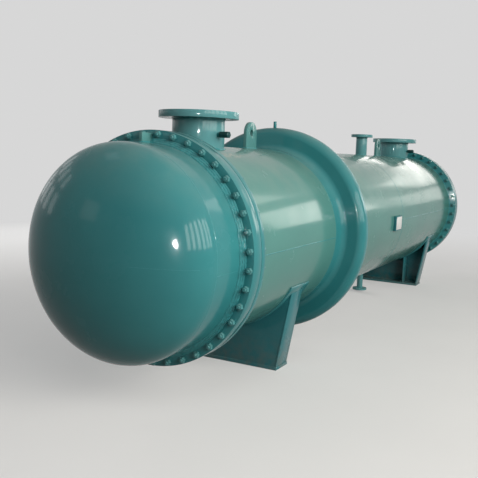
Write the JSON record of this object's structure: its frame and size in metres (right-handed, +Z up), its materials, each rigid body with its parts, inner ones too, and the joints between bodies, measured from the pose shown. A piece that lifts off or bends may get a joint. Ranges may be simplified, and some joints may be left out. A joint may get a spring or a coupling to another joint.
{
  "type": "shell and tube heat exchanger",
  "caption": "Horizontal fixed-tubesheet heat exchanger: a long cylindrical shell with bolted dished heads, an expansion joint and flanged nozzles, on two saddles.",
  "frame": {"origin": "on the floor, midway between the two heads and under the vessel's axis", "axes": "+X along the vessel from the front head, which the picture shows nearest, to the rear head; +Z up"},
  "size_m": [8.131, 1.9116, 2.094],
  "materials": {
    "vessel_paint": "glossy blue-green enamel",
    "saddle_paint": "glossy blue-green enamel, dusty near the floor",
    "plug_paint": "dark painted steel",
    "gasket": "dark sheet gasket",
    "bare_steel": "mill-finish steel",
    "nameplate": "bare plate without lettering"
  },
  "bodies": {
    "root": {"front_head": "vessel_paint", "front_head_flange": "vessel_paint", "front_gasket": "gasket", "front_tubesheet": "vessel_paint", "front_shell": "vessel_paint", "expansion_front_half": "vessel_paint", "expansion_rear_half": "vessel_paint", "expansion_vent_stub": "vessel_paint", "rear_shell_first_course": "vessel_paint", "rear_shell_second_course": "vessel_paint", "rear_tubesheet": "vessel_paint", "rear_gasket": "gasket", "rear_head_flange": "vessel_paint", "rear_head": "vessel_paint", "baffles": "bare_steel", "tie_rods": "bare_steel", "inlet_pipe": "vessel_paint", "inlet_flange": "vessel_paint", "inlet_gauge_boss": "vessel_paint", "inlet_gauge_plug": "plug_paint", "outlet_pipe": "vessel_paint", "outlet_flange": "vessel_paint", "outlet_gauge_boss": "vessel_paint", "outlet_gauge_plug": "plug_paint", "vent_pipe": "vessel_paint", "vent_flange": "vessel_paint", "drain_pipe": "vessel_paint", "drain_flange": "vessel_paint", "front_saddle_wear_plate": "vessel_paint", "front_saddle_web": "saddle_paint", "front_saddle_ribs": "saddle_paint", "front_saddle_base": "saddle_paint", "rear_saddle_wear_plate": "vessel_paint", "rear_saddle_web": "saddle_paint", "rear_saddle_ribs": "saddle_paint", "rear_saddle_base": "saddle_paint", "front_lifting_lug": "vessel_paint", "rear_lifting_lug": "vessel_paint", "front_head_lug": "vessel_paint", "rear_head_lug": "vessel_paint", "nameplate_bracket": "vessel_paint", "nameplate": "nameplate"}
  },
  "joints": []
}
